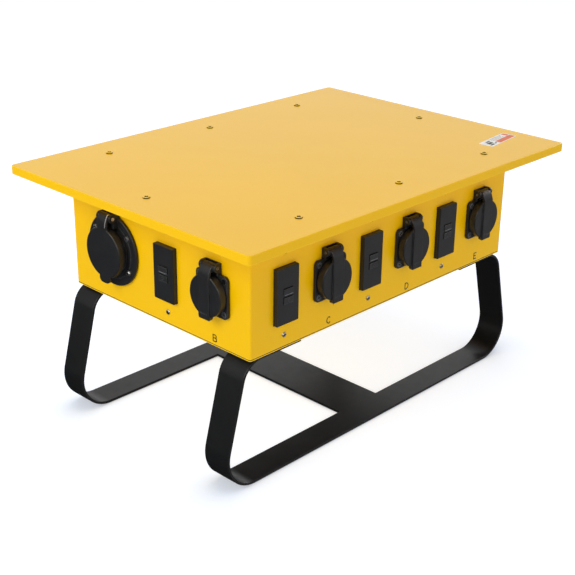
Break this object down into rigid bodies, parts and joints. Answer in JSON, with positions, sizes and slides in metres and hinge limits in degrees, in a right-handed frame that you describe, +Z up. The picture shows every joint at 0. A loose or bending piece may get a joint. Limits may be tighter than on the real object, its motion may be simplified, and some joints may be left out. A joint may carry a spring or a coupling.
{
  "type": "portable power distribution box",
  "caption": "Sheet-steel power distribution box on a bent-bar sled, with covered twist-lock receptacles, ground-fault modules, a flanged inlet and a breaker window.",
  "frame": {"origin": "on the floor, under the middle of the bounding box", "axes": "+X along the long side, with the inlet on the -X end; +Y towards the back panel with the breaker window; +Z up"},
  "size_m": [0.56, 0.406, 0.3086],
  "materials": {
    "yellow_steel": "semi-gloss powder coat",
    "black_steel": "satin powder coat",
    "black_nylon": "satin moulded",
    "module_plastic": "satin moulded",
    "button_plastic": "satin moulded",
    "insert_plastic": "satin moulded",
    "zinc": "zinc plated",
    "blackened_steel": "black oxide",
    "nickel": "bright",
    "brass": "bright",
    "breaker_grey": "satin moulded",
    "smoked_clear": "smoked clear moulding",
    "wire_jacket": "satin"
  },
  "bodies": {
    "root": {"enclosure": "yellow_steel", "mouth_frame": "yellow_steel", "bottom_plate": "yellow_steel", "top_cover": "yellow_steel", "cover_screws": "yellow_steel", "front_runner": "black_steel", "rear_runner": "black_steel", "cross_bar": "black_steel", "runner_bolts": "zinc", "outlet_base_a": "black_nylon", "outlet_base_b": "black_nylon", "outlet_base_c": "black_nylon", "outlet_base_d": "black_nylon", "outlet_base_e": "black_nylon", "outlet_base_f": "black_nylon", "outlet_inserts": "insert_plastic", "outlet_hinge_pins": "blackened_steel", "lid_springs": "nickel", "panel_screws": "blackened_steel", "gfci_bodies": "module_plastic", "gfci_screws": "zinc", "inlet_flange": "black_nylon", "inlet_contacts": "brass", "feed_flange": "black_nylon", "feed_insert": "insert_plastic", "flange_hinge_pins": "nickel", "flange_screws": "zinc", "breaker_frame": "black_nylon", "flap_hinge_pin": "nickel", "breaker_bodies": "breaker_grey", "breaker_rail": "zinc", "terminal_bars": "brass", "wiring": "wire_jacket"},
    "outlet_lid_a": {"outlet_lid_a": "black_nylon"},
    "outlet_lid_b": {"outlet_lid_b": "black_nylon"},
    "outlet_lid_c": {"outlet_lid_c": "black_nylon"},
    "outlet_lid_d": {"outlet_lid_d": "black_nylon"},
    "outlet_lid_e": {"outlet_lid_e": "black_nylon"},
    "outlet_lid_f": {"outlet_lid_f": "black_nylon"},
    "inlet_lid": {"inlet_lid": "black_nylon"},
    "feed_lid": {"feed_lid": "black_nylon"},
    "test_button_a": {"test_button_a": "button_plastic"},
    "reset_button_a": {"reset_button_a": "button_plastic"},
    "test_button_b": {"test_button_b": "button_plastic"},
    "reset_button_b": {"reset_button_b": "button_plastic"},
    "test_button_c": {"test_button_c": "button_plastic"},
    "reset_button_c": {"reset_button_c": "button_plastic"},
    "test_button_d": {"test_button_d": "button_plastic"},
    "reset_button_d": {"reset_button_d": "button_plastic"},
    "test_button_e": {"test_button_e": "button_plastic"},
    "reset_button_e": {"reset_button_e": "button_plastic"},
    "test_button_f": {"test_button_f": "button_plastic"},
    "reset_button_f": {"reset_button_f": "button_plastic"},
    "breaker_flap": {"breaker_flap": "smoked_clear"},
    "breaker_toggle_1": {"breaker_toggle_1": "button_plastic"},
    "breaker_toggle_2": {"breaker_toggle_2": "button_plastic"},
    "breaker_toggle_3": {"breaker_toggle_3": "button_plastic"},
    "breaker_toggle_4": {"breaker_toggle_4": "button_plastic"},
    "breaker_toggle_5": {"breaker_toggle_5": "button_plastic"},
    "breaker_toggle_6": {"breaker_toggle_6": "button_plastic"}
  },
  "joints": [
    {"name": "outlet_lid_a_hinge", "type": "hinge", "parent": "root", "child": "outlet_lid_a", "pos_m": [0.1081, 0.1585, 0.254], "axis": [1, 0, 0], "range_deg": [0, 100], "stiffness_Nm_per_rad": 0.02, "springref_deg": -34.38},
    {"name": "outlet_lid_b_hinge", "type": "hinge", "parent": "root", "child": "outlet_lid_b", "pos_m": [-0.236, -0.097, 0.254], "axis": [0, 1, 0], "range_deg": [0, 100], "stiffness_Nm_per_rad": 0.02, "springref_deg": -34.38},
    {"name": "outlet_lid_c_hinge", "type": "hinge", "parent": "root", "child": "outlet_lid_c", "pos_m": [-0.1081, -0.1585, 0.254], "axis": [-1, 0, 0], "range_deg": [0, 100], "stiffness_Nm_per_rad": 0.02, "springref_deg": -34.38},
    {"name": "outlet_lid_d_hinge", "type": "hinge", "parent": "root", "child": "outlet_lid_d", "pos_m": [0.0327, -0.1585, 0.254], "axis": [-1, 0, 0], "range_deg": [0, 100], "stiffness_Nm_per_rad": 0.02, "springref_deg": -34.38},
    {"name": "outlet_lid_e_hinge", "type": "hinge", "parent": "root", "child": "outlet_lid_e", "pos_m": [0.1735, -0.1585, 0.254], "axis": [-1, 0, 0], "range_deg": [0, 100], "stiffness_Nm_per_rad": 0.02, "springref_deg": -34.38},
    {"name": "outlet_lid_f_hinge", "type": "hinge", "parent": "root", "child": "outlet_lid_f", "pos_m": [0.236, 0.097, 0.254], "axis": [0, -1, 0], "range_deg": [0, 100], "stiffness_Nm_per_rad": 0.02, "springref_deg": -34.38},
    {"name": "inlet_lid_hinge", "type": "hinge", "parent": "root", "child": "inlet_lid", "pos_m": [-0.2405, 0.074, 0.2655], "axis": [0, 1, 0], "range_deg": [0, 100], "stiffness_Nm_per_rad": 0.04, "springref_deg": -34.38},
    {"name": "feed_lid_hinge", "type": "hinge", "parent": "root", "child": "feed_lid", "pos_m": [0.2405, -0.074, 0.2655], "axis": [0, -1, 0], "range_deg": [0, 100], "stiffness_Nm_per_rad": 0.04, "springref_deg": -34.38},
    {"name": "test_button_a_press", "type": "slide", "parent": "root", "child": "test_button_a", "axis": [0, -1, 0], "range_m": [0, 0.0012], "stiffness_N_per_m": 400, "springref_m": -0.002},
    {"name": "reset_button_a_press", "type": "slide", "parent": "root", "child": "reset_button_a", "axis": [0, -1, 0], "range_m": [0, 0.0012], "stiffness_N_per_m": 400, "springref_m": -0.002},
    {"name": "test_button_b_press", "type": "slide", "parent": "root", "child": "test_button_b", "axis": [1, 0, 0], "range_m": [0, 0.0012], "stiffness_N_per_m": 400, "springref_m": -0.002},
    {"name": "reset_button_b_press", "type": "slide", "parent": "root", "child": "reset_button_b", "axis": [1, 0, 0], "range_m": [0, 0.0012], "stiffness_N_per_m": 400, "springref_m": -0.002},
    {"name": "test_button_c_press", "type": "slide", "parent": "root", "child": "test_button_c", "axis": [0, 1, 0], "range_m": [0, 0.0012], "stiffness_N_per_m": 400, "springref_m": -0.002},
    {"name": "reset_button_c_press", "type": "slide", "parent": "root", "child": "reset_button_c", "axis": [0, 1, 0], "range_m": [0, 0.0012], "stiffness_N_per_m": 400, "springref_m": -0.002},
    {"name": "test_button_d_press", "type": "slide", "parent": "root", "child": "test_button_d", "axis": [0, 1, 0], "range_m": [0, 0.0012], "stiffness_N_per_m": 400, "springref_m": -0.002},
    {"name": "reset_button_d_press", "type": "slide", "parent": "root", "child": "reset_button_d", "axis": [0, 1, 0], "range_m": [0, 0.0012], "stiffness_N_per_m": 400, "springref_m": -0.002},
    {"name": "test_button_e_press", "type": "slide", "parent": "root", "child": "test_button_e", "axis": [0, 1, 0], "range_m": [0, 0.0012], "stiffness_N_per_m": 400, "springref_m": -0.002},
    {"name": "reset_button_e_press", "type": "slide", "parent": "root", "child": "reset_button_e", "axis": [0, 1, 0], "range_m": [0, 0.0012], "stiffness_N_per_m": 400, "springref_m": -0.002},
    {"name": "test_button_f_press", "type": "slide", "parent": "root", "child": "test_button_f", "axis": [-1, 0, 0], "range_m": [0, 0.0012], "stiffness_N_per_m": 400, "springref_m": -0.002},
    {"name": "reset_button_f_press", "type": "slide", "parent": "root", "child": "reset_button_f", "axis": [-1, 0, 0], "range_m": [0, 0.0012], "stiffness_N_per_m": 400, "springref_m": -0.002},
    {"name": "breaker_flap_hinge", "type": "hinge", "parent": "root", "child": "breaker_flap", "pos_m": [-0.07, 0.162, 0.259], "axis": [1, 0, 0], "range_deg": [0, 100]},
    {"name": "breaker_toggle_1_throw", "type": "hinge", "parent": "root", "child": "breaker_toggle_1", "pos_m": [-0.02625, 0.1495, 0.221], "axis": [-1, 0, 0], "range_deg": [0, 50]},
    {"name": "breaker_toggle_2_throw", "type": "hinge", "parent": "root", "child": "breaker_toggle_2", "pos_m": [-0.04375, 0.1495, 0.221], "axis": [-1, 0, 0], "range_deg": [0, 50]},
    {"name": "breaker_toggle_3_throw", "type": "hinge", "parent": "root", "child": "breaker_toggle_3", "pos_m": [-0.06125, 0.1495, 0.221], "axis": [-1, 0, 0], "range_deg": [0, 50]},
    {"name": "breaker_toggle_4_throw", "type": "hinge", "parent": "root", "child": "breaker_toggle_4", "pos_m": [-0.07875, 0.1495, 0.221], "axis": [-1, 0, 0], "range_deg": [0, 50]},
    {"name": "breaker_toggle_5_throw", "type": "hinge", "parent": "root", "child": "breaker_toggle_5", "pos_m": [-0.09625, 0.1495, 0.221], "axis": [-1, 0, 0], "range_deg": [0, 50]},
    {"name": "breaker_toggle_6_throw", "type": "hinge", "parent": "root", "child": "breaker_toggle_6", "pos_m": [-0.11375, 0.1495, 0.221], "axis": [-1, 0, 0], "range_deg": [0, 50]}
  ]
}
